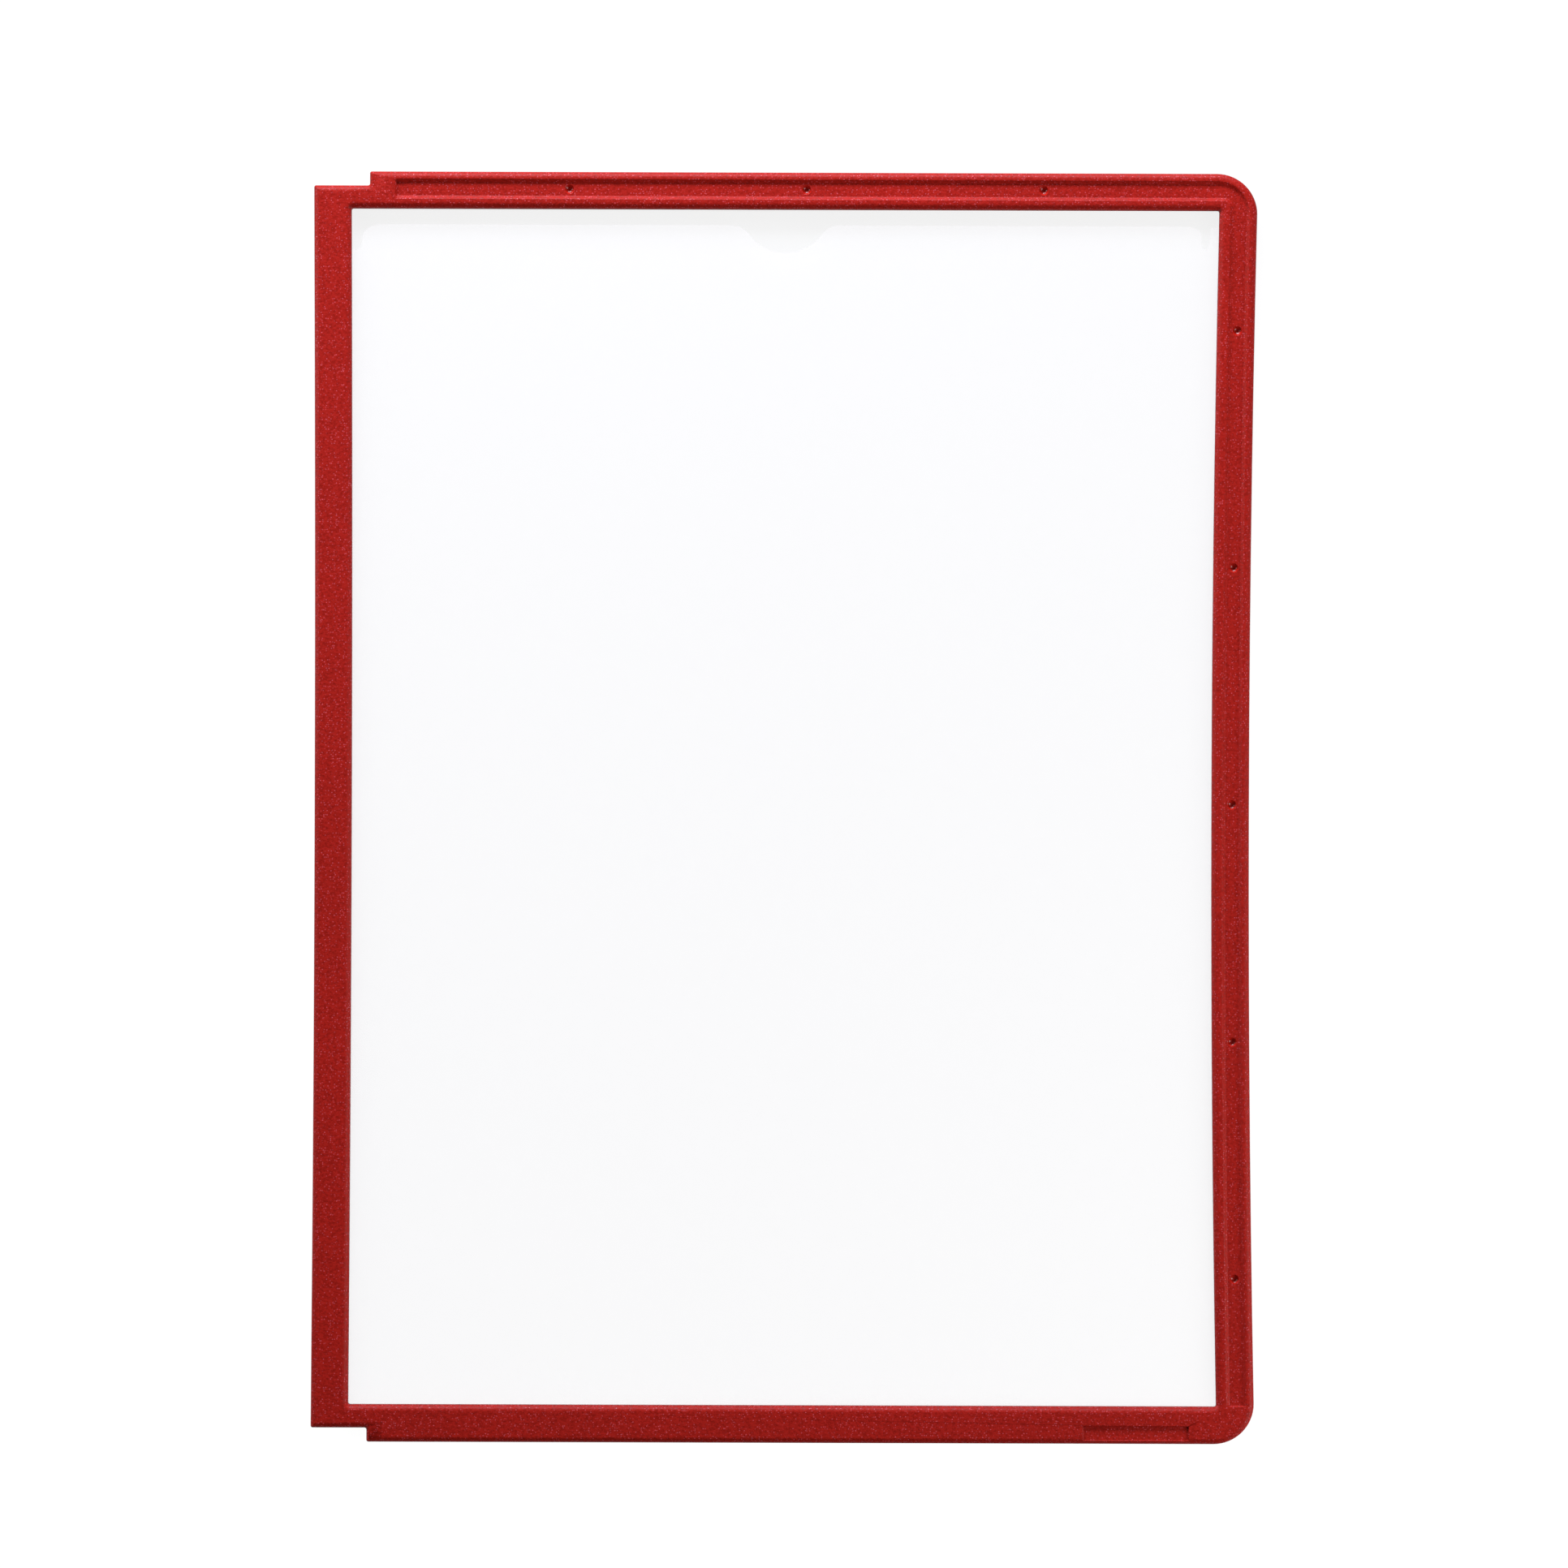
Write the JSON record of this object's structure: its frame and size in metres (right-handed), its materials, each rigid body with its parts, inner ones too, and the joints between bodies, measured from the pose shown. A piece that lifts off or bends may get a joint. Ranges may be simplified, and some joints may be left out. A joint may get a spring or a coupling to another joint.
{
  "type": "document display panel",
  "caption": "Flat display sleeve: a moulded plastic frame with a stepped spine holds two clear films, open along the top with a thumb notch, for one A4 sheet.",
  "frame": {"origin": "middle of the panel's outline, on the plane that its back lies on", "axes": "+Z out of the front face, +Y towards the open top edge, +X from the spine towards the free rail"},
  "size_m": [0.235, 0.3166, 0.004],
  "materials": {
    "frame_plastic": "fine grained red polypropylene",
    "clear_film": "clear polypropylene film with a faint haze"
  },
  "bodies": {
    "root": {"frame": "frame_plastic", "front_film": "clear_film", "back_film": "clear_film"}
  },
  "joints": []
}
